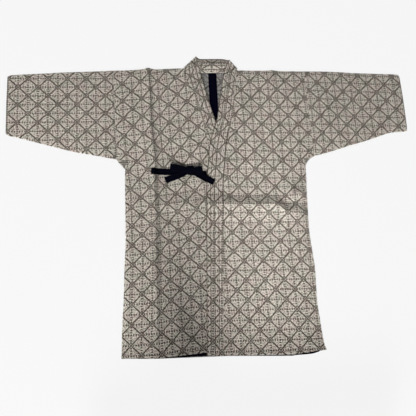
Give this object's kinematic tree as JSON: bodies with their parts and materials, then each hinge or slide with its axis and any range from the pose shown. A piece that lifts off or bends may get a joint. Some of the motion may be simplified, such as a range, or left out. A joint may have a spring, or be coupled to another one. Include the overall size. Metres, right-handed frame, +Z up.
{
  "type": "kendo jacket",
  "caption": "Kendo practice jacket in diamond-woven sashiko cotton, laid flat with its left front over the right, straight sleeves, a collar band and a tied bow.",
  "frame": {"origin": "on the surface that the jacket lies on, under the middle of its box", "axes": "+X from the wearer's right cuff to the left cuff, +Y from the hem to the collar, +Z up from the surface, out of the fronts"},
  "size_m": [1.226, 0.9158, 0.0182],
  "materials": {
    "sashiko_cloth": "thick unbleached cotton woven with a dark diamond lattice, matt",
    "navy_tape": "navy cotton tape, matt",
    "navy_tie": "navy cotton tie, folded and stitched, matt"
  },
  "bodies": {
    "root": {"body_right": "sashiko_cloth", "body_left": "sashiko_cloth", "sleeve_right": "sashiko_cloth", "sleeve_left": "sashiko_cloth", "gusset_right": "sashiko_cloth", "gusset_left": "sashiko_cloth", "collar": "sashiko_cloth", "hem_tape": "navy_tape", "centre_back_tape": "navy_tape", "tie_right": "navy_tie", "tie_left": "navy_tie", "tail_right": "navy_tie", "tail_left": "navy_tie", "loop_right": "navy_tie", "loop_left": "navy_tie", "knot": "navy_tie"}
  },
  "joints": []
}
